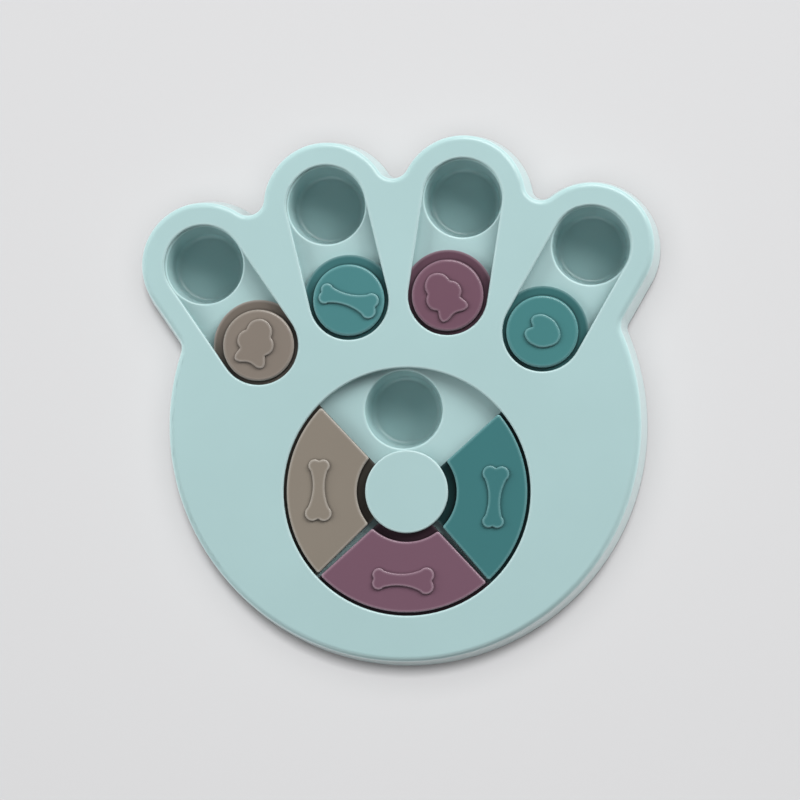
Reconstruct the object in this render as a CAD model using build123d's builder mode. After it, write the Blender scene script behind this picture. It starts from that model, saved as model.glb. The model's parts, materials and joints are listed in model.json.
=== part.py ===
from build123d import *
import os
from math import atan, cos, degrees, radians, sin

# Paw-shaped treat puzzle for a pet, lying flat with its face up.
# Millimetres and degrees. +Z points out of the face and +Y to the toes.
# The origin is on the floor, under the middle of the outline.

os.makedirs("parts", exist_ok=True)

# Plan of the paw at the parting line, with places measured from the hub
body_radius = 114.8
heel_width = 22.3
toe_radius = 30.6
toe_border = 11.3
valley_radius = 8.0
skirt_flare = 3.2
toe_parting = 2.8
toe_lap = 0.1
outer_well_y = 115.0
outer_slot_angle = 32.0
inner_well_y = 141.2
inner_slot_angle = 11.2
slider_travel = 48.0
track_well_reach = 39.9

# Heights and walls of the two shells
foot_height = 4.0
foot_recess = 0.5
foot_radius = 7.0
foot_gap = 0.1
foot_bevel = 0.8
rim_lift = 1.5
rim_round = 0.8
skirt_height = 23.1
skirt_wall = 2.4
deck_thickness = 2.2
channel_depth = 2.8
cover_thickness = 2.6
cover_wall = 2.4
cover_edge_round = 2.8
opening_edge_round = 0.9
parting_bevel = 0.5
lip_wall = 1.6
lip_gap = 0.3
lip_height = 2.2
rib_wall = 1.6
rib_depth = 5.0
rib_bars = 4

# Treat wells
well_rim_inset = 0.3
well_taper = 2.2
well_floor_round = 2.5
well_rim_round = 1.0
well_wall = 1.8
well_bottom = 2.0

# Posts for the feet under the round body, at angles from straight down
post_angles = (-76.0, -24.0, 24.0, 76.0)
post_inset = 13.5
post_bore_radius = 6.4
post_wall = 2.2

# Toe slots and sliders
knob_gap = 1.4
knob_draft = 6.0
knob_proud = 0.6
knob_edge_round = 1.2
knob_wall = 1.8
flange_lap = 3.0
under_gap = 0.2
over_gap = 0.4
side_gap = 0.5
guide_wall = 1.8
guide_gap = 0.1

# Ring track, wedge lids and hub
opening_radius = 60.0
lid_gap = 1.6
lid_lap = 2.7
lid_drop = 0.2
lid_half_angle = 45.6
lid_side_inset = 2.0
lid_corner_round = 1.2
lid_edge_round = 0.8
lid_wall = 1.8
lid_spacing = 88.7
plum_lid_angle = 265.3
hub_cap_radius = 20.1
hub_cap_ring = 4.2
hub_cap_gap = 0.3
hub_cap_proud = 0.2
hub_cap_round = 0.8
hub_post_radius = 12.0
hub_post_gap = 0.4
hub_stem_radius = 4.4

# Screws, and the bosses and sockets that they join
boss_radius = 3.6
boss_length = 15.4
boss_gap = 0.3
socket_wall = 1.6
socket_floor = 2.0
screw_radius = 1.5
screw_bite = 9.0
screw_head_radius = 3.2
screw_head_height = 2.2
hub_screw_radius = 1.8
hub_screw_head_radius = 3.8
hub_screw_head_height = 2.6
screw_head_bevel = 0.8
screw_hole_gap = 0.3
thread_gap = 0.05
pilot_spare = 1.0
body_screw_inset = 11.0
body_screw_angles = (-97.0, -51.0, 0.0, 51.0, 97.0)
toe_screw_share = 0.65

# Raised figures, with the corners of the fish's half outline from its head to its tail
relief_height = 1.0
relief_round = 0.6
figure_soft_round = 0.9
knob_bone_margin = 3.4
lid_bone_length = 30.0
lid_bone_offset = 1.35
bone_end_shares = (0.35, 0.435)
bone_lobe_shares = (0.105, 0.125)
bone_waist_share = 0.2
bone_neck_angle = 40.0
fish_margin = 6.5
fish_shift = 1.6
fish_shares = (
    (0.548, 0.0),
    (0.47, 0.175),
    (0.237, 0.276),
    (0.044, 0.386),
    (-0.171, 0.272),
    (-0.443, 0.316),
    (-0.412, 0.0),
)
heart_margin = 9.65
heart_shift = 0.75
heart_width_share = 0.93
heart_lobe_share = 0.273

# How far a cut runs past the face that it opens
overrun = 1.0

# Heights above the floor that follow from these
deck_top = rim_lift + skirt_height
deck_under = deck_top - deck_thickness
cover_under = deck_top + channel_depth
face_top = cover_under + cover_thickness
cup_under = foot_height - foot_recess
well_floor = cup_under + well_bottom
flange_bottom = deck_top + under_gap
flange_top = cover_under - over_gap
knob_top = face_top + knob_proud
lid_top = face_top - lid_drop
hub_cap_under = flange_top + hub_cap_gap
hub_cap_top = face_top + hub_cap_proud
boss_end = cover_under - boss_length
socket_end = boss_end - socket_floor

# Radii and angles that follow from these
flare_angle = degrees(atan(skirt_flare / skirt_height))
slot_radius = toe_radius - toe_border
inner_well_x = toe_radius + toe_parting
outer_well_x = inner_well_x + 2 * toe_radius - toe_lap
knob_radius = slot_radius - knob_gap
flange_radius = slot_radius + flange_lap
channel_radius = flange_radius + side_gap
track_radius = opening_radius + lid_lap + side_gap
lid_radius = opening_radius - lid_gap
lid_inner_radius = hub_cap_radius + hub_cap_ring
lid_flange_radius = opening_radius + lid_lap
lid_bore_radius = hub_post_radius + hub_post_gap
lid_bone_reach = (lid_inner_radius + lid_radius) / 2 + lid_bone_offset
well_rim_radius = slot_radius - well_rim_inset
well_floor_radius = well_rim_radius - well_taper
well_slope = (well_rim_radius - well_floor_radius) / (deck_top - well_floor)

# The hub's place: the outline reaches as far above the origin as below it
body_rise = body_radius - heel_width - opening_radius
reach_up = max(inner_well_y + toe_radius, body_rise + body_radius) + skirt_flare
reach_down = body_radius + skirt_flare - body_rise
hub_y = (reach_down - reach_up) / 2
body_centre = (0, hub_y + body_rise)


class Toe:
    """One toe: its slot, with the slider at rest at one end and the well at the other."""

    def __init__(self, side, well_x, well_y, slot_angle):
        self.angle = 90 - side * slot_angle
        self.well = Vector(side * well_x, hub_y + well_y)
        self.rest = self.well - Vector(cos(radians(self.angle)), sin(radians(self.angle))) * slider_travel
        self.slot = Location((self.well + self.rest) / 2, (0, 0, self.angle))


toes = [
    Toe(-1, outer_well_x, outer_well_y, outer_slot_angle),
    Toe(-1, inner_well_x, inner_well_y, inner_slot_angle),
    Toe(1, inner_well_x, inner_well_y, inner_slot_angle),
    Toe(1, outer_well_x, outer_well_y, outer_slot_angle),
]
slots = [toe.slot for toe in toes]


def body_place(inset, angle):
    """Return a place inside the round body's edge, at an angle from straight down."""
    reach = body_radius - inset
    return Vector(reach * sin(radians(angle)), body_centre[1] - reach * cos(radians(angle)))


def between_toes(first, second):
    """Return the screw's place in the web between two neighbouring toes."""
    wells_middle = (first.well + second.well) / 2
    rests_middle = (first.rest + second.rest) / 2
    return rests_middle + (wells_middle - rests_middle) * toe_screw_share


track_wells = [
    Vector(track_well_reach * cos(radians(angle)), hub_y + track_well_reach * sin(radians(angle)))
    for angle in (0, 90, 180, 270)
]
wells = [toe.well for toe in toes] + track_wells
posts = [body_place(post_inset, angle) for angle in post_angles]
feet = [toe.well for toe in toes] + posts
screws = [between_toes(first, second) for first, second in zip(toes, toes[1:])]
screws += [body_place(body_screw_inset, angle) for angle in body_screw_angles]


def at_height(places, height):
    """Return the places as points at one height."""
    return [(place.X, place.Y, height) for place in places]


def well_radius(height):
    """Return the radius of a well's tapered wall at a height."""
    return well_floor_radius + well_slope * (height - well_floor)


def draw_paw(grow):
    """Draw the paw's outline in the open sketch, moved outwards by an amount."""
    with Locations(body_centre):
        Circle(body_radius)
    with Locations(*slots):
        SlotCenterToCenter(slider_travel, 2 * toe_radius)
    offset(amount=valley_radius)
    offset(amount=grow - valley_radius)


def draw_slots(radius, mode=Mode.ADD):
    """Draw a round-ended strip along each toe's slot in the open sketch."""
    with Locations(*slots):
        SlotCenterToCenter(slider_travel, 2 * radius, mode=mode)


def draw_sector(inner_radius, outer_radius, inset):
    """Draw a lid's sector about the sketch's X axis, with its sides set in from the radii."""
    half = radians(lid_half_angle)
    apex = inset / sin(half)
    reach = outer_radius / cos(half)
    Circle(outer_radius)
    Circle(inner_radius, mode=Mode.SUBTRACT)
    with BuildLine() as sides:
        Polyline(
            (apex, 0),
            (apex + reach * cos(half), reach * sin(half)),
            (apex + reach * cos(half), -reach * sin(half)),
            close=True,
        )
    make_face(sides.edges(), mode=Mode.INTERSECT)


def draw_bone(length):
    """Draw a bone along the sketch's X axis, with its larger end at +X."""
    small_lobe, large_lobe = [length * share for share in bone_lobe_shares]
    small_end, large_end = [length * share for share in bone_end_shares]
    small = Vector(small_lobe - length / 2, small_end / 2 - small_lobe)
    large = Vector(length / 2 - large_lobe, large_end / 2 - large_lobe)
    for lobe, radius in ((small, small_lobe), (large, large_lobe)):
        with Locations((lobe.X, lobe.Y), (lobe.X, -lobe.Y)):
            Circle(radius)
    inwards = cos(radians(bone_neck_angle))
    outwards = sin(radians(bone_neck_angle))
    with BuildLine() as shaft:
        ThreePointArc(
            (small.X + small_lobe * inwards, small.Y + small_lobe * outwards),
            (0, length * bone_waist_share / 2),
            (large.X - large_lobe * inwards, large.Y + large_lobe * outwards),
        )
        mirror(about=Plane.XZ)
        Line(shaft.edges()[0] @ 0, shaft.edges()[1] @ 0)
        Line(shaft.edges()[0] @ 1, shaft.edges()[1] @ 1)
    make_face(shaft.edges())
    soften()


def draw_fish(length):
    """Draw a fish along the sketch's X axis, with its head at +X."""
    corners = [(length * along, length * across + fish_shift) for along, across in fish_shares]
    head, cheek, front, fin, rear, tip, notch = corners
    with BuildLine() as outline:
        ThreePointArc(head, cheek, front)
        ThreePointArc(front, fin, rear)
        Polyline(rear, tip, notch)
        mirror(about=Plane.XZ.offset(-fish_shift))
    make_face(outline.edges())
    soften()


def draw_heart(length):
    """Draw a heart along the sketch's X axis, with its blunt tip at +X."""
    radius = length * heart_lobe_share
    tip = Vector(heart_shift + length / 2 - radius, 0)
    for side in (-1, 1):
        lobe = Vector(heart_shift - length / 2 + radius, side * (length * heart_width_share / 2 - radius))
        spine = tip - lobe
        with Locations(Location((tip + lobe) / 2, (0, 0, degrees(atan(spine.Y / spine.X))))):
            SlotCenterToCenter(spine.length, 2 * radius)
    soften()


def soften():
    """Round the corners of the figure in the open sketch, hollow ones first."""
    offset(amount=figure_soft_round)
    offset(amount=-2 * figure_soft_round)
    offset(amount=figure_soft_round)


# Space inside a treat well, up through the deck, with a rounded floor edge and rim
with BuildPart() as well_space:
    with BuildSketch(Plane.XZ):
        with BuildLine():
            brim = well_rim_radius + 2 * well_rim_round
            FilletPolyline(
                (0, well_floor),
                (well_floor_radius, well_floor),
                (well_rim_radius, deck_top),
                (brim, deck_top),
                radius=[well_floor_round, well_rim_round],
            )
            Polyline((brim, deck_top), (brim, deck_top + overrun), (0, deck_top + overrun), (0, well_floor))
        make_face()
    revolve(axis=Axis.Z)

# Hollow under the deck, with the cups, posts, sockets and ribs left standing in it
with BuildPart() as underside:
    hollow_depth = deck_under - rim_lift + overrun
    with BuildSketch(Plane.XY.offset(deck_under)):
        draw_paw(skirt_flare * deck_thickness / skirt_height - skirt_wall)
    extrude(amount=-hollow_depth, taper=-flare_angle)
    cup_height = deck_under + overrun - cup_under
    with Locations(*at_height(wells, cup_under)):
        Cone(
            well_radius(cup_under) + well_wall,
            well_radius(cup_under + cup_height) + well_wall,
            cup_height,
            align=(Align.CENTER, Align.CENTER, Align.MIN),
            mode=Mode.SUBTRACT,
        )
    with Locations(*at_height(posts, cup_under)):
        Cylinder(
            post_bore_radius + post_wall,
            cup_height,
            align=(Align.CENTER, Align.CENTER, Align.MIN),
            mode=Mode.SUBTRACT,
        )
    socket_height = deck_under + overrun - socket_end
    with Locations(*at_height(screws, socket_end)):
        Cylinder(
            boss_radius + boss_gap + socket_wall,
            socket_height,
            align=(Align.CENTER, Align.CENTER, Align.MIN),
            mode=Mode.SUBTRACT,
        )
    with Locations((0, hub_y, socket_end)):
        Cylinder(
            hub_stem_radius + boss_gap + socket_wall,
            socket_height,
            align=(Align.CENTER, Align.CENTER, Align.MIN),
            mode=Mode.SUBTRACT,
        )
    with Locations((0, hub_y, deck_under + overrun)):
        with PolarLocations(0, rib_bars, angular_range=180):
            Box(
                2 * (reach_up + reach_down),
                rib_wall,
                rib_depth + overrun,
                align=(Align.CENTER, Align.CENTER, Align.MAX),
                mode=Mode.SUBTRACT,
            )

# Base tray: deck with the wells, flared skirt, and the guides that stand on the deck
with BuildPart() as base_tray:
    with BuildSketch(Plane.XY.offset(deck_top)):
        draw_paw(0)
    extrude(amount=-skirt_height, taper=-flare_angle)
    chamfer(base_tray.faces().sort_by(Axis.Z)[-1].edges(), parting_bevel)
    fillet(base_tray.faces().sort_by(Axis.Z)[0].edges(), rim_round)
    add(underside.part, mode=Mode.SUBTRACT)
    with BuildSketch(Plane.XY.offset(deck_top)):
        draw_paw(-cover_wall - lip_gap)
    extrude(amount=lip_height)
    with BuildSketch(Plane.XY.offset(deck_top)):
        draw_paw(-cover_wall - lip_gap - lip_wall)
    extrude(amount=lip_height, mode=Mode.SUBTRACT)
    with BuildSketch(Plane.XY.offset(deck_top)):
        draw_slots(channel_radius + guide_wall)
        with Locations((0, hub_y)):
            Circle(track_radius + guide_wall)
            Circle(track_radius, mode=Mode.SUBTRACT)
        draw_slots(channel_radius, mode=Mode.SUBTRACT)
    extrude(amount=channel_depth - guide_gap)
    with Locations((0, hub_y, deck_top)):
        Cylinder(
            hub_post_radius,
            hub_cap_under - deck_top,
            align=(Align.CENTER, Align.CENTER, Align.MIN),
        )
    with Locations(*at_height(wells, 0)):
        add(well_space.part, mode=Mode.SUBTRACT)
    with Locations(*at_height(posts, well_floor)):
        Cylinder(
            post_bore_radius,
            deck_top - well_floor + overrun,
            align=(Align.CENTER, Align.CENTER, Align.MIN),
            mode=Mode.SUBTRACT,
        )
    with Locations(*at_height(feet, cup_under)):
        Cylinder(
            foot_radius + foot_gap,
            foot_recess,
            align=(Align.CENTER, Align.CENTER, Align.MIN),
            mode=Mode.SUBTRACT,
        )
    with Locations(*at_height(screws, boss_end)):
        Cylinder(
            boss_radius + boss_gap,
            deck_top - boss_end + overrun,
            align=(Align.CENTER, Align.CENTER, Align.MIN),
            mode=Mode.SUBTRACT,
        )
        Hole(screw_radius + screw_hole_gap, depth=socket_floor + overrun)
    with Locations((0, hub_y, boss_end)):
        Cylinder(
            hub_stem_radius + boss_gap,
            hub_cap_under - boss_end + overrun,
            align=(Align.CENTER, Align.CENTER, Align.MIN),
            mode=Mode.SUBTRACT,
        )
        Hole(hub_screw_radius + screw_hole_gap, depth=socket_floor + overrun)
base_tray.part.label = "base_tray"
export_step(base_tray.part, "parts/base_tray.step")

# Top cover: face plate with a turned-down edge, the slots, the round opening and the bosses
with BuildPart() as top_cover:
    with BuildSketch(Plane.XY.offset(deck_top)):
        draw_paw(0)
    extrude(amount=face_top - deck_top)
    fillet(top_cover.faces().sort_by(Axis.Z)[-1].edges(), cover_edge_round)
    chamfer(top_cover.faces().sort_by(Axis.Z)[0].edges(), parting_bevel)
    with BuildSketch(Plane.XY.offset(deck_top)):
        draw_paw(-cover_wall)
    extrude(amount=channel_depth, mode=Mode.SUBTRACT)
    with BuildSketch(Plane.XY.offset(cover_under)):
        with Locations((0, hub_y)):
            Circle(opening_radius)
        draw_slots(slot_radius)
    extrude(amount=cover_thickness, mode=Mode.SUBTRACT)
    fillet(top_cover.faces().sort_by(Axis.Z)[-1].inner_wires().edges(), opening_edge_round)
    with BuildSketch(Plane.XY.offset(cover_under)):
        with Locations(*[(place.X, place.Y) for place in screws]):
            Circle(boss_radius)
    extrude(amount=-boss_length)
    with Locations(*at_height(screws, boss_end)):
        Cylinder(
            screw_radius + thread_gap,
            screw_bite + pilot_spare,
            align=(Align.CENTER, Align.CENTER, Align.MIN),
            mode=Mode.SUBTRACT,
        )
top_cover.part.label = "top_cover"
export_step(top_cover.part, "parts/top_cover.step")

# Sliders: a hollow round knob on a wider flange that runs under the cover
sliders = {
    "slider_1_fish": (toes[0], draw_fish, fish_margin, 69.0),
    "slider_2_bone": (toes[1], draw_bone, knob_bone_margin, -18.5),
    "slider_3_fish": (toes[2], draw_fish, fish_margin, 119.5),
    "slider_4_heart": (toes[3], draw_heart, heart_margin, -29.0),
}
for name, (toe, draw_figure, figure_margin, figure_angle) in sliders.items():
    with BuildPart() as slider:
        seat = Plane((toe.rest.X, toe.rest.Y, flange_bottom))
        with BuildSketch(seat):
            Circle(knob_radius)
        extrude(amount=knob_top - flange_bottom, taper=knob_draft)
        fillet(slider.faces().sort_by(Axis.Z)[-1].edges(), knob_edge_round)
        with BuildSketch(seat):
            Circle(flange_radius)
        extrude(amount=flange_top - flange_bottom)
        with BuildSketch(seat):
            Circle(knob_radius - knob_wall)
        extrude(amount=knob_top - knob_wall - flange_bottom, taper=knob_draft, mode=Mode.SUBTRACT)
        turn = (cos(radians(figure_angle)), sin(radians(figure_angle)), 0)
        with BuildSketch(Plane((toe.rest.X, toe.rest.Y, knob_top), x_dir=turn)):
            draw_figure(2 * (knob_radius - figure_margin))
        extrude(amount=relief_height)
        fillet(slider.faces().sort_by(Axis.Z)[-1].edges(), relief_round)
    slider.part.label = name
    export_step(slider.part, f"parts/{name}.step")

# Wedge lids: a hollow sector on a wider flange that runs in the ring track
lids = {
    "lid_taupe": plum_lid_angle - lid_spacing,
    "lid_plum": plum_lid_angle,
    "lid_teal": plum_lid_angle + lid_spacing,
}
for name, lid_angle in lids.items():
    with BuildPart() as lid:
        along = (cos(radians(lid_angle)), sin(radians(lid_angle)), 0)
        across = (-sin(radians(lid_angle)), cos(radians(lid_angle)), 0)
        seat = Plane((0, hub_y, flange_bottom), x_dir=along)
        with BuildSketch(seat):
            draw_sector(lid_inner_radius, lid_radius, lid_side_inset)
        extrude(amount=lid_top - flange_bottom)
        fillet(lid.edges().filter_by(Axis.Z), lid_corner_round)
        fillet(lid.faces().sort_by(Axis.Z)[-1].edges(), lid_edge_round)
        with BuildSketch(seat):
            draw_sector(lid_bore_radius, lid_flange_radius, lid_side_inset)
        extrude(amount=flange_top - flange_bottom)
        with BuildSketch(seat):
            draw_sector(lid_inner_radius + lid_wall, lid_radius - lid_wall, lid_side_inset + lid_wall)
        extrude(amount=lid_top - lid_wall - flange_bottom, mode=Mode.SUBTRACT)
        bone_x = lid_bone_reach * along[0]
        bone_y = hub_y + lid_bone_reach * along[1]
        with BuildSketch(Plane((bone_x, bone_y, lid_top), x_dir=across)):
            draw_bone(lid_bone_length)
        extrude(amount=relief_height)
        fillet(lid.faces().sort_by(Axis.Z)[-1].edges(), relief_round)
    lid.part.label = name
    export_step(lid.part, f"parts/{name}.step")

# Hub cap: a plain disc over the lids' inner edges, with a stem that the hub screw bites into
with BuildPart() as hub_cap:
    with BuildSketch(Plane((0, hub_y, hub_cap_under))):
        Circle(hub_cap_radius)
    extrude(amount=hub_cap_top - hub_cap_under)
    fillet(hub_cap.faces().sort_by(Axis.Z)[-1].edges(), hub_cap_round)
    with BuildSketch(Plane((0, hub_y, hub_cap_under))):
        Circle(hub_stem_radius)
    extrude(amount=boss_end - hub_cap_under)
    with Locations((0, hub_y, boss_end)):
        Cylinder(
            hub_screw_radius + thread_gap,
            screw_bite + pilot_spare,
            align=(Align.CENTER, Align.CENTER, Align.MIN),
            mode=Mode.SUBTRACT,
        )
hub_cap.part.label = "hub_cap"
export_step(hub_cap.part, "parts/hub_cap.step")

# Hub screw: up through the socket's floor into the hub cap's stem
with BuildPart() as hub_screw:
    with Locations((0, hub_y, socket_end)):
        Cylinder(
            hub_screw_head_radius,
            hub_screw_head_height,
            align=(Align.CENTER, Align.CENTER, Align.MAX),
        )
    chamfer(hub_screw.faces().sort_by(Axis.Z)[0].edges(), screw_head_bevel)
    with Locations((0, hub_y, socket_end)):
        Cylinder(
            hub_screw_radius,
            socket_floor + screw_bite,
            align=(Align.CENTER, Align.CENTER, Align.MIN),
        )
hub_screw.part.label = "hub_screw"
export_step(hub_screw.part, "parts/hub_screw.step")

# Case screws: up through each socket's floor into the cover's boss
with BuildPart() as case_screws:
    with Locations(*at_height(screws, socket_end)):
        Cylinder(
            screw_head_radius,
            screw_head_height,
            align=(Align.CENTER, Align.CENTER, Align.MAX),
        )
    chamfer(case_screws.faces().group_by(Axis.Z)[0].edges(), screw_head_bevel)
    with Locations(*at_height(screws, socket_end)):
        Cylinder(
            screw_radius,
            socket_floor + screw_bite,
            align=(Align.CENTER, Align.CENTER, Align.MIN),
        )
case_screws.part.label = "case_screws"
export_step(case_screws.part, "parts/case_screws.step")

# Rubber feet: pressed into the round recesses under the toe wells and the posts
for number, place in enumerate(feet, start=1):
    with BuildPart() as foot:
        with Locations((place.X, place.Y, 0)):
            Cylinder(foot_radius, foot_height, align=(Align.CENTER, Align.CENTER, Align.MIN))
        chamfer(foot.faces().sort_by(Axis.Z)[0].edges(), foot_bevel)
    foot.part.label = f"foot_{number}"
    export_step(foot.part, f"parts/foot_{number}.step")
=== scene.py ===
"""Looks of the paw-shaped treat puzzle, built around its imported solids.

Sizes are in metres, with MM for those given in millimetres. Angles are in degrees unless a
docstring says radians.
"""

import json
import logging
import math
from dataclasses import dataclass, field
from enum import Enum
from typing import Any, Sequence

import bmesh
import bpy
from mathutils import Matrix, Vector

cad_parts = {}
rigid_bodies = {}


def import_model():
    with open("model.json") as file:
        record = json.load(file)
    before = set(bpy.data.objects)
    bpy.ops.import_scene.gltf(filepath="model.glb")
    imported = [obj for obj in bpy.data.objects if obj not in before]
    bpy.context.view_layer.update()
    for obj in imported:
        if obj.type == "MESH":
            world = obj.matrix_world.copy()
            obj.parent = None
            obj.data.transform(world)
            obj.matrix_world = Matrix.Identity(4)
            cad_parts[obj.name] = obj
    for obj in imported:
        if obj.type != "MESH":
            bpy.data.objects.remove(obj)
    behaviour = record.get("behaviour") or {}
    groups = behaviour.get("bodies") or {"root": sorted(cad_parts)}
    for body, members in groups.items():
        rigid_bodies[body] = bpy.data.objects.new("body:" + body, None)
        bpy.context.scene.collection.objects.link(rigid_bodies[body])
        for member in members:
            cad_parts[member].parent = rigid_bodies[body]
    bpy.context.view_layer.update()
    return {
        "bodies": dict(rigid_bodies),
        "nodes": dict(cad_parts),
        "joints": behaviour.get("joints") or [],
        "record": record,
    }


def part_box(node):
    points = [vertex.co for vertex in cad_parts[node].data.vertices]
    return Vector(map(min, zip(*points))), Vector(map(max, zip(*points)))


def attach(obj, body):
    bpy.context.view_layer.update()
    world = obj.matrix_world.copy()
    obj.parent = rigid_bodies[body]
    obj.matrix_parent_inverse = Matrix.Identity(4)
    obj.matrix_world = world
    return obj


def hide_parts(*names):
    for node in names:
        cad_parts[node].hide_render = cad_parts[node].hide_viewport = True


LOG = logging.getLogger("treat_puzzle")
MM = 0.001
CASE_BODY = "case"
SHARP_ANGLE = 40.0
FULL_TURN = 360.0
SRGB_STEPS = 255
SRGB_TOE = 0.04045
SRGB_TOE_SLOPE = 12.92
SRGB_OFFSET = 0.055
SRGB_POWER = 2.4

Colour = tuple[float, float, float]
Cover = tuple[float, float, float, float]
Place = tuple[float, float, float]
Stops = tuple[tuple[float, float], ...]
Outline = tuple[tuple[float, float], ...]
Profile = list[tuple[float, float]]

# The colour of the painted shade low in narrow gaps.
PAINTED_SHADE_BLACK: Cover = (0.0, 0.0, 0.0, 1.0)


class Slot(Enum):
    """The record's material slots of the new pieces."""

    STEEL = "steel"
    RUBBER = "rubber"


class Joining(Enum):
    """What a second shape does to a first one."""

    ADD = "UNION"
    CUT = "DIFFERENCE"


def linear(red: int, green: int, blue: int) -> Colour:
    """Turn an sRGB colour in steps of 255 into linear light.

    Args:
        red: The red step.
        green: The green step.
        blue: The blue step.

    Returns:
        The three linear values.
    """

    def channel(step: int) -> float:
        """Undo the sRGB curve of one channel.

        Args:
            step: The channel's step.

        Returns:
            Its linear value.
        """
        share = step / SRGB_STEPS
        if share <= SRGB_TOE:
            return share / SRGB_TOE_SLOPE
        return ((share + SRGB_OFFSET) / (1 + SRGB_OFFSET)) ** SRGB_POWER

    return channel(red), channel(green), channel(blue)


def cover(colour: Sequence[float], share: float = 1.0) -> Cover:
    """Return an opaque colour.

    Args:
        colour: Its three linear values.
        share: How much of them to keep, over 1 for a paler one.

    Returns:
        The colour with its alpha.
    """
    red, green, blue = (min(1.0, share * value) for value in colour)
    return red, green, blue, 1.0


class Term:
    """A node's value whose arithmetic adds Math nodes to its tree."""

    def __init__(self, sketch: "NodeSketch", socket: bpy.types.NodeSocket | None) -> None:
        """Wrap a socket of a sketch's tree.

        Args:
            sketch: The sketch that the socket belongs to.
            socket: The output socket that gives the value, or None at the end of the tree.
        """
        self.sketch = sketch
        self.socket = socket

    def _math(self, operation: str, first: Any, second: Any) -> "Term":
        """Add a Math node of two values and return its result."""
        return self.sketch.node("ShaderNodeMath", {"operation": operation}, {0: first, 1: second})

    def __add__(self, other: Any) -> "Term":
        """Add a value."""
        return self._math("ADD", self, other)

    def __radd__(self, other: Any) -> "Term":
        """Add to a number."""
        return self._math("ADD", other, self)

    def __sub__(self, other: Any) -> "Term":
        """Subtract a value."""
        return self._math("SUBTRACT", self, other)

    def __rsub__(self, other: Any) -> "Term":
        """Subtract from a number."""
        return self._math("SUBTRACT", other, self)

    def __mul__(self, other: Any) -> "Term":
        """Multiply by a value."""
        return self._math("MULTIPLY", self, other)

    def __rmul__(self, other: Any) -> "Term":
        """Multiply a number."""
        return self._math("MULTIPLY", other, self)


class NodeSketch:
    """A node tree whose nodes are all added by one method."""

    def __init__(self, tree: bpy.types.NodeTree) -> None:
        """Start with an empty tree.

        Args:
            tree: The tree to fill.
        """
        self.tree = tree
        self.tree.nodes.clear()

    def node(
        self,
        kind: str,
        settings: dict[str, Any] | None = None,
        sockets: dict[Any, Any] | None = None,
        output: int | str = 0,
    ) -> Term:
        """Add a node, set it up and link it.

        Args:
            kind: The node's type.
            settings: Its properties, or the stops of a ramp, set before its sockets.
            sockets: Its inputs by name or number: a Term is linked and a value is set.
            output: The output that the result stands for.

        Returns:
            The chosen output as a Term.
        """
        made = self.tree.nodes.new(kind)
        for key, value in (settings or {}).items():
            if key == "stops":
                self._set_stops(made.color_ramp, value)
            else:
                setattr(made, key, value)
        for key, value in (sockets or {}).items():
            if isinstance(value, Term):
                self.tree.links.new(value.socket, made.inputs[key])
            else:
                made.inputs[key].default_value = value
        return Term(self, made.outputs[output] if made.outputs else None)

    @staticmethod
    def _set_stops(ramp: bpy.types.ColorRamp, stops: Stops) -> None:
        """Give a ramp its grey stops.

        Args:
            ramp: The ramp, which has two stops already.
            stops: Pairs of place and value.
        """
        for index, (place, value) in enumerate(stops):
            new = index >= len(ramp.elements)
            stop = ramp.elements.new(place) if new else ramp.elements[index]
            stop.position = place
            stop.color = (value, value, value, 1)


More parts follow.
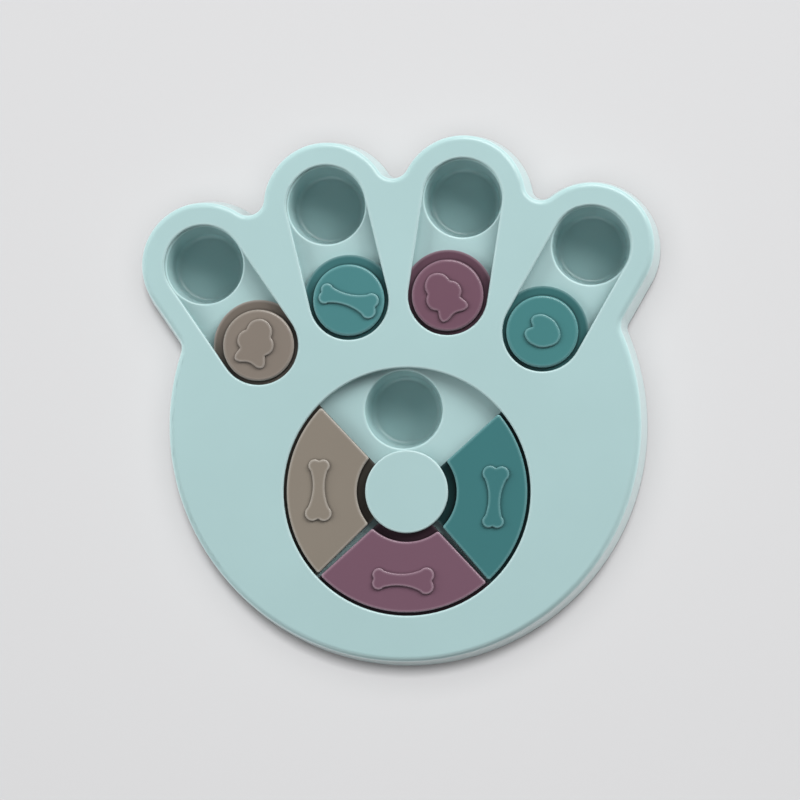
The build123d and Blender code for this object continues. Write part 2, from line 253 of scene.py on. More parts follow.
class ShaderSketch(NodeSketch):
    """A material under construction."""

    bend_samples: int = 8

    def __init__(self, name: str) -> None:
        """Start an empty material.

        Args:
            name: The material's name.
        """
        self.material = bpy.data.materials.new(name)
        self.material.use_nodes = True
        super().__init__(self.material.node_tree)

    def place(self) -> Term:
        """Return the surface point in the piece's own frame, in metres."""
        return self.node("ShaderNodeTexCoord", output="Object")

    def noise(self, place: Term, size: float, detail: float = 2.0, roughness: float = 0.5) -> Term:
        """Return a noise value.

        Args:
            place: The point to read it at.
            size: The size of its blotches, in metres.
            detail: How many finer layers it has.
            roughness: How strong the finer layers are.

        Returns:
            A value about one half.
        """
        inputs = {"Vector": place, "Scale": 1 / size, "Detail": detail, "Roughness": roughness}
        return self.node("ShaderNodeTexNoise", sockets=inputs, output="Fac")

    def height(self, place: Term, low: float, high: float) -> Term:
        """Return how high a point lies between two levels.

        Args:
            place: The point.
            low: The level that gives 0, in metres.
            high: The level that gives 1, in metres.

        Returns:
            The share of the way up.
        """
        level = self.node("ShaderNodeSeparateXYZ", sockets={"Vector": place}, output="Z")
        return (level - low) * (1 / (high - low))

    def ramp(self, value: Term, stops: Stops) -> Term:
        """Return a value passed through grey stops.

        Args:
            value: The value to pass.
            stops: Pairs of place and value.

        Returns:
            The ramp's value.
        """
        return self.node("ShaderNodeValToRGB", {"stops": stops}, {"Fac": value})

    def mix(self, share: Term, first: Term | Cover, second: Term | Cover) -> Term:
        """Mix two colours.

        Args:
            share: How much of the second.
            first: The first colour.
            second: The second colour.

        Returns:
            The mixed colour.
        """
        # The node's sockets for its factor, its two colours and their mix go by number
        settings = {"data_type": "RGBA"}
        return self.node("ShaderNodeMix", settings, {0: share, 6: first, 7: second}, output=2)

    def bump(self, height: Term, strength: float, depth: float, normal: Term | None = None) -> Term:
        """Return a normal bent by a height.

        Args:
            height: The height, from 0 to 1.
            strength: How much of it shows.
            depth: The real depth of the full height, in metres.
            normal: A normal to bend further.

        Returns:
            The bent normal.
        """
        inputs = {"Height": height, "Strength": strength, "Distance": depth}
        if normal is not None:
            inputs["Normal"] = normal
        return self.node("ShaderNodeBump", sockets=inputs)

    def bend(self, reach: float, outer: bool) -> Term:
        """Return a value that is 0 on flat walls and rises where the piece's own surface bends.

        Args:
            reach: How far from a bend it shows, in metres.
            outer: True for outer edges, False for creases.

        Returns:
            The value.
        """
        settings = {"inside": outer, "only_local": True, "samples": self.bend_samples}
        flat = self.node("ShaderNodeAmbientOcclusion", settings, {"Distance": reach}, output="AO")
        return 1 - flat

    def finish(self, **sockets: Any) -> bpy.types.Material:
        """Add the surface shader and the output.

        Args:
            **sockets: The shader's inputs, with an underscore for a space in a name.

        Returns:
            The finished material.
        """
        named = {key.replace("_", " "): value for key, value in sockets.items()}
        shader = self.node("ShaderNodeBsdfPrincipled", sockets=named)
        self.node("ShaderNodeOutputMaterial", sockets={"Surface": shader})
        return self.material


@dataclass(frozen=True)
class GapShade:
    """Painted shade for a narrow gap: how much colour and gloss its walls keep, from its foot to
    its head.
    """

    foot: float
    head: float
    stops: Stops


@dataclass(frozen=True)
class MouldedPlastic:
    """Satin moulded plastic with mould grain, faint clouding and handling marks, with painted
    highlights on its edges, painted shade in its creases and, when given, painted shade low in
    narrow gaps.
    """

    name: str
    colour: Colour
    cloud_share: float = 0.04
    cloud_size: float = 45 * MM
    cloud_detail: float = 3
    # The next three fields set a painted highlight on convex edges, and the three after them a
    # painted shade in creases.
    edge_highlight_reach: float = 1.5 * MM
    edge_highlight_power: float = 0.5
    edge_highlight_stops: Stops = ((0.05, 0.0), (0.42, 1.0))
    crease_reach: float = 1.6 * MM
    crease_shade_share: float = 0.5
    crease_stops: Stops = ((0.05, 0.0), (0.5, 1.0))
    grain_size: float = 0.35 * MM
    grain_depth: float = 0.012 * MM
    wave_size: float = 22 * MM
    wave_depth: float = 0.05 * MM
    relief_detail: float = 1
    roughness: float = 0.3
    scuff_size: float = 9 * MM
    scuff_detail: float = 8
    scuff_roughness: float = 0.7
    scuff_stops: Stops = ((0.45, 0.0), (0.75, 1.0))
    scuff_rise: float = 0.08
    refraction: float = 1.5
    mirror_level: float = 0.25
    gloss: float = 1.0
    gloss_roughness: float = 0.2
    # Painted shade low in narrow gaps, when given.
    gap: GapShade | None = None

    def make(self) -> bpy.types.Material:
        """Make the material.

        Returns:
            The material.
        """
        sketch = ShaderSketch(self.name)
        place = sketch.place()
        colour, gloss = self._tone(sketch, place), self.gloss
        # Painted shade: low in a gap the colour is mixed towards black and the gloss is taken away.
        if self.gap is not None:
            kept = sketch.ramp(sketch.height(place, self.gap.foot, self.gap.head), self.gap.stops)
            colour = sketch.mix(kept, PAINTED_SHADE_BLACK, colour)
            gloss = kept
        scuff = sketch.noise(place, self.scuff_size, self.scuff_detail, self.scuff_roughness)
        worn = sketch.ramp(scuff, self.scuff_stops)
        return sketch.finish(
            Base_Color=colour,
            Roughness=worn * self.scuff_rise + self.roughness,
            Normal=self._relief(sketch, place),
            IOR=self.refraction,
            Specular_IOR_Level=self.mirror_level,
            Coat_Weight=gloss,
            Coat_Roughness=self.gloss_roughness,
        )

    def _tone(self, sketch: ShaderSketch, place: Term) -> Term:
        """Add the clouding, the painted highlights on the edges and the painted shade in the
        creases.

        Args:
            sketch: The material under construction.
            place: The surface point.

        Returns:
            The colour.
        """
        cloud = sketch.noise(place, self.cloud_size, self.cloud_detail)
        deep = cover(self.colour, 1 - self.cloud_share)
        pale = cover(self.colour, 1 + self.cloud_share)
        colour = sketch.mix(cloud, deep, pale)
        # Painted highlight: convex edges are lightened towards a paler copy of the colour, for the
        # light they catch.
        painted_highlight_colour = cover([value**self.edge_highlight_power for value in self.colour])
        edge = sketch.ramp(sketch.bend(self.edge_highlight_reach, outer=True), self.edge_highlight_stops)
        colour = sketch.mix(edge, colour, painted_highlight_colour)
        # Painted shade: creases are darkened towards a darker copy of the colour.
        crease_shade_colour = cover(self.colour, 1 - self.crease_shade_share)
        crease = sketch.ramp(sketch.bend(self.crease_reach, outer=False), self.crease_stops)
        return sketch.mix(crease, colour, crease_shade_colour)

    def _relief(self, sketch: ShaderSketch, place: Term) -> Term:
        """Add the slight waves of the moulded faces and the mould grain.

        Args:
            sketch: The material under construction.
            place: The surface point.

        Returns:
            The bent normal.
        """
        wave = sketch.noise(place, self.wave_size, self.relief_detail)
        grain = sketch.noise(place, self.grain_size, self.relief_detail)
        return sketch.bump(grain, 1.0, self.grain_depth, sketch.bump(wave, 1.0, self.wave_depth))


@dataclass(frozen=True)
class ZincSteel:
    """Zinc-plated screw steel with turning marks."""

    name: str
    colour: Colour
    roughness: float = 0.34
    blotch_size: float = 1.6 * MM
    blotch_detail: float = 5
    blotch_roughness: float = 0.6
    blotch_rise: float = 0.2
    dull_share: float = 0.8
    mark_size: float = 0.2 * MM
    mark_detail: float = 2
    mark_strength: float = 0.4
    mark_depth: float = 0.02 * MM

    def make(self) -> bpy.types.Material:
        """Make the material.

        Returns:
            The material.
        """
        sketch = ShaderSketch(self.name)
        place = sketch.place()
        blotch = sketch.noise(place, self.blotch_size, self.blotch_detail, self.blotch_roughness)
        mark = sketch.noise(place, self.mark_size, self.mark_detail)
        return sketch.finish(
            Base_Color=sketch.mix(blotch, cover(self.colour, self.dull_share), cover(self.colour)),
            Roughness=blotch * self.blotch_rise + self.roughness,
            Normal=sketch.bump(mark, self.mark_strength, self.mark_depth),
            Metallic=1.0,
        )


@dataclass(frozen=True)
class GripRubber:
    """Matt grip rubber with a fine grain and a little dust."""

    name: str
    colour: Colour
    roughness: float = 0.78
    dust_size: float = 5 * MM
    dust_detail: float = 6
    dust_stops: Stops = ((0.4, 0.0), (0.8, 1.0))
    dust_rise: float = 0.1
    dusty_share: float = 0.75
    dusty_lift: float = 0.1
    grain_size: float = 0.3 * MM
    grain_detail: float = 2
    grain_strength: float = 0.6
    grain_depth: float = 0.04 * MM

    def make(self) -> bpy.types.Material:
        """Make the material.

        Returns:
            The material.
        """
        sketch = ShaderSketch(self.name)
        place = sketch.place()
        dust = sketch.ramp(sketch.noise(place, self.dust_size, self.dust_detail), self.dust_stops)
        dusty = cover([self.dusty_share * value + self.dusty_lift for value in self.colour])
        grain = sketch.noise(place, self.grain_size, self.grain_detail)
        return sketch.finish(
            Base_Color=sketch.mix(dust, cover(self.colour), dusty),
            Roughness=dust * self.dust_rise + self.roughness,
            Normal=sketch.bump(grain, self.grain_strength, self.grain_depth),
        )


@dataclass(frozen=True)
class PaleFloor:
    """Even matt studio floor, which its own lamps make pale."""

    name: str
    colour: Colour
    cloud_size: float = 0.4
    cloud_share: float = 0.005
    roughness: float = 0.9

    def make(self) -> bpy.types.Material:
        """Make the material.

        Returns:
            The material.
        """
        sketch = ShaderSketch(self.name)
        cloud = sketch.noise(sketch.place(), self.cloud_size)
        deep = cover(self.colour, 1 - self.cloud_share)
        return sketch.finish(
            Base_Color=sketch.mix(cloud, deep, cover(self.colour)),
            Roughness=self.roughness,
        )


class Scatter(NodeSketch):
    """A geometry tree that sets one shape on every point of a mesh, each turned about Z."""

    def __init__(self, name: str) -> None:
        """Build the tree.

        Args:
            name: The tree's name.
        """
        super().__init__(bpy.data.node_groups.new(name, "GeometryNodeTree"))
        self.sockets: dict[str, str] = {}
        for label, kind in (
            ("Places", "NodeSocketGeometry"),
            ("Shape", "NodeSocketObject"),
            ("Largest Turn", "NodeSocketFloat"),
            ("Seed", "NodeSocketInt"),
            ("Finish", "NodeSocketMaterial"),
        ):
            made = self.tree.interface.new_socket(label, in_out="INPUT", socket_type=kind)
            self.sockets[label] = made.identifier
        self.tree.interface.new_socket("Mesh", in_out="OUTPUT", socket_type="NodeSocketGeometry")
        inputs = {label: self.node("NodeGroupInput", output=label) for label in self.sockets}
        shape = self.node(
            "GeometryNodeObjectInfo",
            sockets={"Object": inputs["Shape"]},
            output="Geometry",
        )
        # The node's sockets for its largest number and for the number drawn go by number
        turn = self.node(
            "FunctionNodeRandomValue",
            {"data_type": "FLOAT"},
            {3: inputs["Largest Turn"], "Seed": inputs["Seed"]},
            output=1,
        )
        turned = self.node("ShaderNodeCombineXYZ", sockets={"Z": turn})
        placed = self.node(
            "GeometryNodeInstanceOnPoints",
            sockets={"Points": inputs["Places"], "Instance": shape, "Rotation": turned},
        )
        real = self.node("GeometryNodeRealizeInstances", sockets={"Geometry": placed})
        dressed = self.node(
            "GeometryNodeSetMaterial",
            sockets={"Geometry": real, "Material": inputs["Finish"]},
        )
        self.node("NodeGroupOutput", sockets={"Mesh": dressed})

    def spread(
        self,
        name: str,
        shape: bpy.types.Object,
        places: Sequence[Vector],
        finish: bpy.types.Material,
        largest_turn: float = 0.0,
        seed: int = 0,
    ) -> bpy.types.Object:
        """Set a shape on places and return them all as one plain mesh.

        Args:
            name: The piece's name.
            shape: The shape to repeat, about its own origin.
            places: Where it stands.
            finish: Its material.
            largest_turn: The largest turn about Z, in radians.
            seed: The seed of the turns.

        Returns:
            The finished piece.
        """
        points = bpy.data.meshes.new(name)
        points.from_pydata([tuple(place) for place in places], [], [])
        carrier = bpy.data.objects.new(name, points)
        bpy.context.scene.collection.objects.link(carrier)
        modifier = carrier.modifiers.new("scatter", "NODES")
        modifier.node_group = self.tree
        modifier[self.sockets["Shape"]] = shape
        modifier[self.sockets["Largest Turn"]] = largest_turn
        modifier[self.sockets["Seed"]] = seed
        modifier[self.sockets["Finish"]] = finish
        plain = plain_mesh(carrier)
        carrier.modifiers.clear()
        carrier.data = plain
        return carrier


def plain_mesh(source: bpy.types.Object) -> bpy.types.Mesh:
    """Return an object's mesh with its modifiers applied.

    Args:
        source: The object to evaluate.

    Returns:
        A mesh of its own.
    """
    graph = bpy.context.evaluated_depsgraph_get()
    return bpy.data.meshes.new_from_object(source.evaluated_get(graph), depsgraph=graph)


def smooth_over(mesh_work: bmesh.types.BMesh, sharp_angle: float = SHARP_ANGLE) -> None:
    """Shade mesh work smoothly, with sharp edges kept.

    Args:
        mesh_work: The mesh work.
        sharp_angle: Edges that turn by more than this, in degrees, stay sharp.
    """
    for face in mesh_work.faces:
        face.smooth = True
    for edge in mesh_work.edges:
        edge.smooth = edge.calc_face_angle(0) < math.radians(sharp_angle)


def shape_from(
    name: str,
    mesh_work: bmesh.types.BMesh,
    sharp_angle: float = SHARP_ANGLE,
) -> bpy.types.Object:
    """Turn mesh work into a smooth-shaded object with sharp edges kept.

    Args:
        name: The object's name.
        mesh_work: The mesh work, which is freed.
        sharp_angle: Edges that turn by more than this, in degrees, stay sharp.

    Returns:
        The object, in the scene.
    """
    bmesh.ops.recalc_face_normals(mesh_work, faces=mesh_work.faces)
    smooth_over(mesh_work, sharp_angle)
    mesh = bpy.data.meshes.new(name)
    mesh_work.to_mesh(mesh)
    mesh_work.free()
    made = bpy.data.objects.new(name, mesh)
    bpy.context.scene.collection.objects.link(made)
    return made


def join_mesh(piece: bpy.types.Object, tool: bpy.types.Object, joining: Joining) -> None:
    """Join a shape to an object, or cut it out, and leave a plain mesh with sharp edges kept.

    Args:
        piece: The object, which gets the new mesh.
        tool: The shape, which is removed.
        joining: Whether the shape is added or cut out.
    """
    modifier = piece.modifiers.new("joining", "BOOLEAN")
    modifier.operation = joining.value
    modifier.solver = "EXACT"
    modifier.object = tool
    work = bmesh.new()
    work.from_mesh(plain_mesh(piece))
    smooth_over(work)
    work.to_mesh(piece.data)
    work.free()
    piece.modifiers.clear()
    bpy.data.objects.remove(tool)


def ring_point(radius: float, share: float, height: float) -> Vector:
    """Return a point on a level circle about Z, at a share of its way round."""
    turn = math.tau * share
    return Vector((radius * math.cos(turn), radius * math.sin(turn), height))


def skin_rings(mesh_work: bmesh.types.BMesh, rings: Sequence[Sequence[Vector]]) -> None:
    """Close a shape over rings of points, with a pole at each end.

    Args:
        mesh_work: The mesh work to add to.
        rings: Rings of equal length, from the first pole to the last.
    """
    made = [[mesh_work.verts.new(point) for point in ring] for ring in rings]
    count = len(made[0])
    for lower, upper in zip(made, made[1:]):
        for index in range(count):
            after = (index + 1) % count
            mesh_work.faces.new((lower[index], lower[after], upper[after], upper[index]))
    for ring in (made[0], made[-1]):
        middle = mesh_work.verts.new(sum((vert.co for vert in ring), Vector()) / count)
        for index in range(count):
            mesh_work.faces.new((ring[index], ring[(index + 1) % count], middle))


@dataclass
class PanScrew:
    """A self-tapping screw, head down, with a domed head and a cross recess.

    The head's shares are of its height and radius, and the recess's of the head's.
    """

    name: str
    head_radius: float
    head_height: float
    shank_radius: float
    length: float
    pitch: float = 1.3 * MM
    thread_depth: float = 0.32 * MM
    thread_steepness: float = 2.6
    point_pitches: float = 2.2
    point_share: float = 0.25
    steps_round: int = 28
    steps_pitch: int = 7
    dome_steps: int = 8
    dome_share: float = 0.65
    dome_power: float = 0.6
    rim_share: float = 0.12
    seat_share: float = 0.96
    recess_reach_share: float = 0.56
    recess_width_share: float = 0.17
    recess_depth_share: float = 0.62
    recess_floor_share: float = 0.5
    recess_mouth_share: float = 1.08
    recess_overrun_share: float = 0.2

    def _ring(self, height: float, radius: float, depth: float = 0.0) -> list[Vector]:
        """Draw one ring of the screw.

        Args:
            height: Its height.
            radius: Its radius at the thread's crest.
            depth: The thread's depth.

        Returns:
            Its points.
        """
        ring = []
        for step in range(self.steps_round):
            share = step / self.steps_round
            phase = (height / self.pitch - share) % 1
            reach = radius - depth * min(1, self.thread_steepness * abs(phase - 0.5))
            ring.append(ring_point(reach, share, height))
        return ring

    def _head_rows(self) -> Profile:
        """Draw the head's profile.

        Returns:
            Pairs of height and radius, from its crown up.
        """
        rows = []
        for step in range(1, self.dome_steps + 1):
            lean = math.pi / 2 * step / self.dome_steps
            drop = 1 - self.dome_share + self.dome_share * math.cos(lean)
            reach = math.sin(lean) ** self.dome_power
            rows.append((-drop * self.head_height, reach * self.head_radius))
        rows.append((-self.rim_share * self.head_height, self.head_radius))
        rows.append((0.0, self.seat_share * self.head_radius))
        return rows

    def shape(self) -> bpy.types.Object:
        """Make the screw.

        Returns:
            The screw, about the middle of its head's flat side.
        """
        rings = [self._ring(height, radius) for height, radius in self._head_rows()]
        rings.append(self._ring(0, self.shank_radius))
        rows = round(self.length / self.pitch * self.steps_pitch)
        taper = self.point_pitches * self.pitch
        for row in range(1, rows + 1):
            height = self.length * row / rows
            point = max(self.point_share, min(1, (self.length - height) / taper))
            rings.append(self._ring(height, self.shank_radius * point, self.thread_depth * point))
        work = bmesh.new()
        skin_rings(work, rings)
        screw = shape_from(self.name, work)
        join_mesh(screw, self._recess(), Joining.CUT)
        return screw

    def _recess(self) -> bpy.types.Object:
        """Make the cross that is cut out of the head.

        Returns:
            The cross, narrower at its floor.
        """
        reach = self.recess_reach_share * self.head_radius
        width = self.recess_width_share * self.head_radius
        corners = ((reach, -width), (reach, width), (width, width))
        rings = []
        for drop, share in (
            (1 + self.recess_overrun_share, self.recess_mouth_share),
            (1, 1),
            (1 - self.recess_depth_share, self.recess_floor_share),
        ):
            ring = []
            for quarter in range(4):
                turn = Matrix.Rotation(quarter * math.pi / 2, 3, "Z")
                height = -drop * self.head_height
                ring += [turn @ Vector((share * x, share * y, height)) for x, y in corners]
            rings.append(ring)
        work = bmesh.new()
        skin_rings(work, rings)
        return shape_from(self.name + "_recess", work)


@dataclass
class GripFoot:
    """A round rubber foot with rings on its sole and a softened shoulder."""

    radius: float
    height: float
    rings: int = 3
    ring_shift_share: float = 0.15
    middle_share: float = 0.15
    groove_depth: float = 0.45 * MM
    groove_width: float = 0.7 * MM
    groove_lip: float = 0.18 * MM
    groove_wall_share: float = 0.4
    groove_floor_share: float = 0.5
    shoulder: float = 0.9 * MM
    shoulder_steps: int = 6
    top_chamfer: float = 0.2 * MM
    steps_round: int = 48
    sharp_angle: float = 50.0

    def _groove(self, middle: float) -> Profile:
        """Draw one groove of the sole.

        Args:
            middle: The radius of its middle.

        Returns:
            Pairs of radius and height, from its inner lip out.
        """
        half = self.groove_width / 2
        wall = self.groove_wall_share * self.groove_depth
        floor = self.groove_floor_share * half
        return [
            (middle - half - self.groove_lip, 0.0),
            (middle - half, wall),
            (middle - floor, self.groove_depth),
            (middle + floor, self.groove_depth),
            (middle + half, wall),
            (middle + half + self.groove_lip, 0.0),
        ]

    def _profile(self) -> Profile:
        """Draw the foot's profile.

        Returns:
            Pairs of radius and height, from the sole's middle out.
        """
        rows = [(self.middle_share * self.radius, 0.0)]
        for ring in range(1, self.rings + 1):
            rows += self._groove(self.radius * (ring + self.ring_shift_share) / (self.rings + 1))
        for step in range(self.shoulder_steps + 1):
            lean = math.pi / 2 * step / self.shoulder_steps
            reach = self.radius - self.shoulder * (1 - math.sin(lean))
            rows.append((reach, self.shoulder * (1 - math.cos(lean))))
        rows.append((self.radius, self.height - self.top_chamfer))
        rows.append((self.radius - self.top_chamfer, self.height))
        return rows

    def shape(self) -> bpy.types.Object:
        """Make the foot.

        Returns:
            The foot, about the middle of its sole.
        """
        shares = [step / self.steps_round for step in range(self.steps_round)]
        rings = []
        for radius, height in self._profile():
            rings.append([ring_point(radius, share, height) for share in shares])
        work = bmesh.new()
        skin_rings(work, rings)
        return shape_from("foot", work, self.sharp_angle)


@dataclass
class Hardware:
    """The screws and feet under the toy, set where their solids are.

    Each row of screws is a node, its head's radius and height, and its shank's radius.
    """

    screws: tuple[tuple[str, float, float, float], ...] = (
        ("case_screws", 3.2 * MM, 2.2 * MM, 1.5 * MM),
        ("hub_screw", 3.8 * MM, 2.6 * MM, 1.8 * MM),
    )
    turn_seed: int = 7
    cluster_reach: float = 8 * MM
    steel: ZincSteel = ZincSteel("zinc_steel", (0.56, 0.56, 0.57))
    rubber: GripRubber = GripRubber("grip_rubber", (0.16, 0.18, 0.18))

    def build(self, frame: dict[str, Any]) -> None:
        """Make the screws and the feet.

        Args:
            frame: The loaded frame.
        """
        scatter = Scatter("scatter_hardware")
        self._build_screws(frame, scatter)
        self._build_feet(frame, scatter)

    def _build_screws(self, frame: dict[str, Any], scatter: Scatter) -> None:
        """Make the screws, each turned by chance.

        Args:
            frame: The loaded frame.
            scatter: The tree that repeats them.
        """
        steel = self.steel.make()
        for node, head_radius, head_height, shank_radius in self.screws:
            low, high = (Vector(corner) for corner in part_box(node))
            seat = low.z + head_height
            length = high.z - seat
            kind = PanScrew(node + "_shape", head_radius, head_height, shank_radius, length)
            screw = kind.shape()
            middles = self._middles(frame["nodes"][node])
            places = [middle + Vector((0, 0, seat)) for middle in middles]
            piece = scatter.spread(node + "_cross", screw, places, steel, math.tau, self.turn_seed)
            self._settle(piece, screw, Slot.STEEL, [node])

    def _build_feet(self, frame: dict[str, Any], scatter: Scatter) -> None:
        """Make the feet.

        Args:
            frame: The loaded frame.
            scatter: The tree that repeats them.
        """
        feet = sorted(name for name in frame["nodes"] if name.startswith("foot_"))
        boxes = [[Vector(corner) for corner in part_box(name)] for name in feet]
        low, high = boxes[0]
        foot = GripFoot((high.x - low.x) / 2, high.z - low.z).shape()
        places = []
        for low, high in boxes:
            places.append(Vector(((low.x + high.x) / 2, (low.y + high.y) / 2, low.z)))
        piece = scatter.spread("grip_feet", foot, places, self.rubber.make())
        self._settle(piece, foot, Slot.RUBBER, feet)

    def _middles(self, node: bpy.types.Object) -> list[Vector]:
        """Find the solids in a node that holds several.

        Args:
            node: The node's object.

        Returns:
            The middle of each solid, on the plane z = 0.
        """
        groups: list[list[Vector]] = []
        for vertex in node.data.vertices:
            flat = Vector((vertex.co.x, vertex.co.y, 0))
            for group in groups:
                if (group[0] - flat).length < self.cluster_reach:
                    group.append(flat)
                    break
            else:
                groups.append([flat])
        middles = []
        for group in groups:
            low = Vector((min(point.x for point in group), min(point.y for point in group), 0))
            high = Vector((max(point.x for point in group), max(point.y for point in group), 0))
            middles.append((low + high) / 2)
        return middles

    @staticmethod
    def _settle(
        piece: bpy.types.Object,
        shape: bpy.types.Object,
        slot: Slot,
        nodes: list[str],
    ) -> None:
        """Let a piece stand for its solids.

        Args:
            piece: The piece.
            shape: The shape that it was made from, which is removed.
            slot: Its material slot, which is not used.
            nodes: The solids' names.
        """
        bpy.data.objects.remove(shape)
        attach(piece, CASE_BODY)
        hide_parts(*nodes)
        LOG.info("%s for %s", piece.name, ", ".join(nodes))


def dress(frame: dict[str, Any], node: str, finish: bpy.types.Material) -> None:
    """Give a solid that keeps its shape its finish.

    Args:
        frame: The loaded frame.
        node: The solid's name.
        finish: Its material.
    """
    shown = frame["nodes"][node]
    shown.data.materials.clear()
    shown.data.materials.append(finish)
    LOG.info("%s in %s", node, finish.name)


@dataclass
class Shells:
    """The tray, the cover and the hub cap, all of one plastic."""

    nodes: tuple[str, ...] = ("base_tray", "top_cover", "hub_cap")
    finish: MouldedPlastic = MouldedPlastic(
        "mint_plastic",
        linear(177, 208, 208),
        # A weaker painted highlight on the edges and a weaker painted shade in the creases of the
        # mint shells.
        edge_highlight_power=0.6,
        crease_shade_share=0.25,
    )

    def build(self, frame: dict[str, Any]) -> None:
        """Dress the shells.

        Args:
            frame: The loaded frame.
        """
        material = self.finish.make()
        for node in self.nodes:
            dress(frame, node, material)


@dataclass(frozen=True)
class Figure:
    """A raised figure with soft edges, alike on both sides of its own axis.

    Its half outline runs from its head to its tail, in shares of its length.
    """

    length: float
    turn: float
    half_shares: Outline
    side_shift: float = 0.0
    notches: tuple[int, ...] = ()
    height: float = 1.0 * MM
    depth: float = 0.9 * MM
    edge_round: float = 0.75 * MM
    edge_steps: int = 4
    line_steps: int = 10
    weld_share: float = 0.01

    def shape(self, name: str, seat: Vector) -> bpy.types.Object:
        """Make the figure as a solid that is sunk into its seat.

        Args:
            name: The object's name.
            seat: The point of the face that it stands on.

        Returns:
            The object, in the scene.
        """
        drawn = bpy.data.objects.new(name, self._outline(name))
        bpy.context.scene.collection.objects.link(drawn)
        work = bmesh.new()
        work.from_mesh(plain_mesh(drawn))
        bpy.data.objects.remove(drawn)
        weld = self.weld_share * self.edge_round / MM
        bmesh.ops.remove_doubles(work, verts=work.verts, dist=weld)
        lift = Matrix.Translation((0, self.side_shift, (self.height - self.depth) / 2))
        turn = Matrix.Rotation(math.radians(self.turn), 4, "Z")
        work.transform(Matrix.Translation(seat) @ turn @ lift @ Matrix.Scale(MM, 4))
        return shape_from(name, work)

    def _outline(self, name: str) -> bpy.types.Curve:
        """Draw the outline as a filled curve with rounded edges.

        Args:
            name: The curve's name.

        Returns:
            The curve, in millimetres.
        """
        curve = bpy.data.curves.new(name, "CURVE")
        curve.dimensions = "2D"
        curve.fill_mode = "BOTH"
        curve.resolution_u = self.line_steps
        curve.bevel_resolution = self.edge_steps
        curve.bevel_depth = self.edge_round / MM
        curve.offset = -self.edge_round / MM
        curve.extrude = (self.height + self.depth) / 2 / MM - curve.bevel_depth
        there = list(self.half_shares)
        back = [(along, -across) for along, across in reversed(there[1:-1])]
        line = curve.splines.new("BEZIER")
        line.bezier_points.add(len(there) + len(back) - 1)
        line.use_cyclic_u = True
        count = len(line.bezier_points)
        sharp = {index % count for notch in self.notches for index in (notch, -notch)}
        for index, (along, across) in enumerate(there + back):
            point = line.bezier_points[index]
            point.co = Vector((along, across, 0)) * (self.length / MM)
            handle = "VECTOR" if index in sharp else "AUTO"
            point.handle_left_type = point.handle_right_type = handle
        return curve


@dataclass
class Caps:
    """Hollow caps that run in narrow gaps, each in its own shade: the knobs or the lids.

    A cap with a figure here gets it in place of its solid's plainer one.
    """

    shades: dict[str, Colour]
    gap: GapShade
    figures: dict[str, Figure] = field(default_factory=dict)
    skim: float = 0.004 * MM
    weld: float = 0.001 * MM

    def build(self, frame: dict[str, Any]) -> None:
        """Dress the caps, and raise the figures.

        Args:
            frame: The loaded frame.
        """
        for node, shade in self.shades.items():
            finish = MouldedPlastic(node + "_plastic", shade, gap=self.gap).make()
            if node in self.figures:
                self._raise_figure(frame, node, finish)
            else:
                dress(frame, node, finish)

    def _raise_figure(self, frame: dict[str, Any], node: str, finish: bpy.types.Material) -> None:
        """Let a copy of a cap, with a finer figure on its face, stand for its solid.

        Args:
            frame: The loaded frame.
            node: The solid's name.
            finish: Its material.
        """
        figure = self.figures[node]
        low, high = (Vector(corner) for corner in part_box(node))
        face = Vector(((low.x + high.x) / 2, (low.y + high.y) / 2, high.z - figure.height))
        cap = self._bare_cap(frame["nodes"][node], node + "_raised", face.z - self.skim)
        join_mesh(cap, figure.shape(node + "_figure", face), Joining.ADD)
        cap.modifiers.new("normals", "WEIGHTED_NORMAL").keep_sharp = True
        cap.data.materials.clear()
        cap.data.materials.append(finish)
        bodies = frame["record"]["behaviour"]["bodies"]
        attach(cap, next(body for body, nodes in bodies.items() if node in nodes))
        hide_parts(node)
        LOG.info("%s for %s", cap.name, node)

    def _bare_cap(self, solid: bpy.types.Object, name: str, level: float) -> bpy.types.Object:
        """Copy a cap without what stands on its face.

        Args:
            solid: The cap's solid.
            name: The copy's name.
            level: The height of the flat face that closes it.

        Returns:
            The copy.
        """
        work = bmesh.new()
        work.from_mesh(solid.data)
        bmesh.ops.remove_doubles(work, verts=work.verts, dist=self.weld)
        cut = bmesh.ops.bisect_plane(
            work,
            geom=[*work.verts, *work.edges, *work.faces],
            plane_co=(0, 0, level),
            plane_no=(0, 0, 1),
            clear_outer=True,
        )
        rim = [item for item in cut["geom_cut"] if isinstance(item, bmesh.types.BMEdge)]
        bmesh.ops.edgeloop_fill(work, edges=rim)
        return shape_from(name, work)


FISH_LENGTH = 22.8 * MM
FISH_SIDE_SHIFT = 1.6 * MM
FISH_NOTCHES = (3, 7)
FISH_SHARES: Outline = (
    (0.556, 0.0),
    (0.475, 0.19),
    (0.366, 0.263),
    (0.237, 0.282),
    (0.155, 0.365),
    (0.044, 0.4),
    (-0.084, 0.374),
    (-0.18, 0.285),
    (-0.405, 0.332),
    (-0.461, 0.28),
    (-0.42, 0.0),
)
HEART_LENGTH = 16.5 * MM
HEART_TURN = -29.0
HEART_NOTCHES = (5,)
HEART_SHARES: Outline = (
    (0.562, 0.0),
    (0.349, 0.342),
    (-0.031, 0.475),
    (-0.355, 0.381),
    (-0.455, 0.2),
    (-0.315, 0.0),
)


def fish(turn: float) -> Figure:
    """Return a fish that is turned by an angle, in degrees."""
    return Figure(FISH_LENGTH, turn, FISH_SHARES, FISH_SIDE_SHIFT, FISH_NOTCHES)


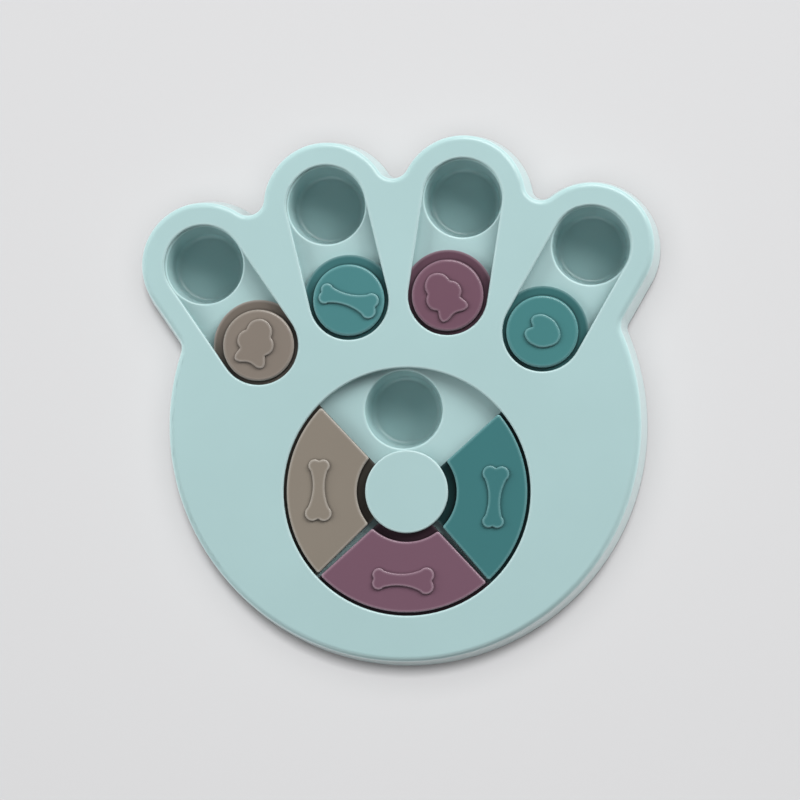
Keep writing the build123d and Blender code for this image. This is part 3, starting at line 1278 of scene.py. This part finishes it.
GAP_FOOT = 26.8 * MM
GAP_HEAD = 29.8 * MM
KNOBS = Caps(
    {
        "slider_1_fish": linear(135, 125, 115),
        # The teal knobs get a paler teal than the teal lid, a lighter copy of the same plastic:
        # painted light on the knobs.
        "slider_2_bone": linear(75, 133, 135),
        "slider_3_fish": linear(116, 83, 98),
        "slider_4_heart": linear(71, 131, 132),
    },
    # Painted shade in the gaps: the flange tops keep 0.72 of their colour and the walls below the
    # face are painted near black.
    GapShade(GAP_FOOT, GAP_HEAD, stops=((0.08, 0.72), (0.16, 0.06), (0.7, 0.1), (1.0, 1.0))),
    {
        "slider_1_fish": fish(69.0),
        "slider_3_fish": fish(119.5),
        "slider_4_heart": Figure(HEART_LENGTH, HEART_TURN, HEART_SHARES, notches=HEART_NOTCHES),
    },
)
LIDS = Caps(
    {
        "lid_taupe": linear(141, 132, 120),
        "lid_plum": linear(121, 88, 104),
        "lid_teal": linear(63, 121, 123),
    },
    # Painted shade in the gaps: the lids' flanges and walls below the face are painted near black.
    GapShade(GAP_FOOT, GAP_HEAD, stops=((0.08, 0.2), (0.16, 0.06), (0.5, 0.1), (0.75, 1.0))),
)


@dataclass(frozen=True)
class Lamp:
    """An area light that points at the toy, either on the toy alone or on the floor alone.

    A lamp that is not mirrored lights the toy but leaves no glare on it.
    """

    name: str
    azimuth: float
    elevation: float
    reach: float
    width: float
    height: float
    power: float
    on_floor: bool = False
    mirrored: bool = True

    def hang(self, floor: bpy.types.Object) -> None:
        """Make the light.

        Args:
            floor: The floor, which a lamp on the toy leaves out.
        """
        data = bpy.data.lights.new(self.name, "AREA")
        data.shape = "RECTANGLE"
        data.size = self.width
        data.size_y = self.height
        data.energy = self.power
        lamp = bpy.data.objects.new(self.name, data)
        lamp.visible_glossy = self.mirrored
        rise = math.radians(self.elevation)
        towards = ring_point(math.cos(rise), self.azimuth / FULL_TURN, math.sin(rise))
        lamp.location = self.reach * towards
        lamp.rotation_euler = towards.to_track_quat("Z", "Y").to_euler()
        bpy.context.scene.collection.objects.link(lamp)
        lit = bpy.data.collections.new(self.name + "_reach")
        lit.objects.link(floor)
        state = "INCLUDE" if self.on_floor else "EXCLUDE"
        lit.collection_objects[0].light_linking.link_state = state
        lamp.light_linking.receiver_collection = lit


@dataclass
class Studio:
    """Pale floor, soft light and the camera."""

    floor_half: float = 3.0
    floor_finish: PaleFloor = PaleFloor("pale_floor", (0.2, 0.2, 0.202))
    camera_at: Place = (0.107, -0.056, 1.430)
    camera_aim: Place = (-0.0012, -0.0003, 0.030)
    camera_roll: float = 2.5
    camera_view_angle: float = 15.7
    world_colour: Colour = (0.93, 0.96, 1.0)
    world_strength: float = 0.127
    lamps: tuple[Lamp, ...] = (
        Lamp("key_light", 62, 36, reach=2.0, width=1.9, height=1.2, power=25.5),
        Lamp("low_light", 35, 24, reach=2.0, width=1.1, height=0.7, power=26, mirrored=False),
        Lamp("left_box", 165, 22, reach=1.6, width=1.6, height=0.9, power=23, mirrored=False),
        Lamp("front_fill", 262, 34, reach=2.0, width=1.6, height=0.8, power=4.5),
        Lamp("floor_light", 95, 84, reach=2.6, width=3.0, height=3.0, power=129, on_floor=True),
        Lamp("floor_key", 78, 79, reach=2.6, width=0.5, height=0.5, power=139, on_floor=True),
    )

    def build(self) -> None:
        """Make the floor, lights, world and camera."""
        floor = self._floor()
        self._world()
        for lamp in self.lamps:
            lamp.hang(floor)
        self._camera()
        bpy.context.scene.view_settings.view_transform = "Standard"

    def _floor(self) -> bpy.types.Object:
        """Make the floor.

        Returns:
            The floor.
        """
        half = self.floor_half
        mesh = bpy.data.meshes.new("floor")
        corners = [(-half, -half, 0), (half, -half, 0), (half, half, 0), (-half, half, 0)]
        mesh.from_pydata(corners, [], [(0, 1, 2, 3)])
        mesh.materials.append(self.floor_finish.make())
        floor = bpy.data.objects.new("floor", mesh)
        bpy.context.scene.collection.objects.link(floor)
        return floor

    def _world(self) -> None:
        """Light the room evenly."""
        world = bpy.data.worlds.new("soft_room")
        world.use_nodes = True
        background = world.node_tree.nodes["Background"]
        background.inputs["Color"].default_value = cover(self.world_colour)
        background.inputs["Strength"].default_value = self.world_strength
        bpy.context.scene.world = world

    def _camera(self) -> None:
        """Set up the camera at the photograph's viewing angle."""
        data = bpy.data.cameras.new("camera")
        data.angle = math.radians(self.camera_view_angle)
        camera = bpy.data.objects.new("camera", data)
        at = Vector(self.camera_at)
        look = (Vector(self.camera_aim) - at).normalized()
        roll = math.radians(self.camera_roll)
        right = look.cross(Vector((math.sin(roll), math.cos(roll), 0))).normalized()
        turn = Matrix((right, right.cross(look), -look)).transposed()
        camera.matrix_world = Matrix.Translation(at) @ turn.to_4x4()
        bpy.context.scene.collection.objects.link(camera)
        bpy.context.scene.camera = camera


def main() -> None:
    """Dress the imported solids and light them."""
    logging.basicConfig(level=logging.INFO, format="%(message)s")
    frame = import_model()
    for assembly in (Shells(), KNOBS, LIDS, Hardware()):
        assembly.build(frame)
    Studio().build()


if __name__ == "__main__":
    main()
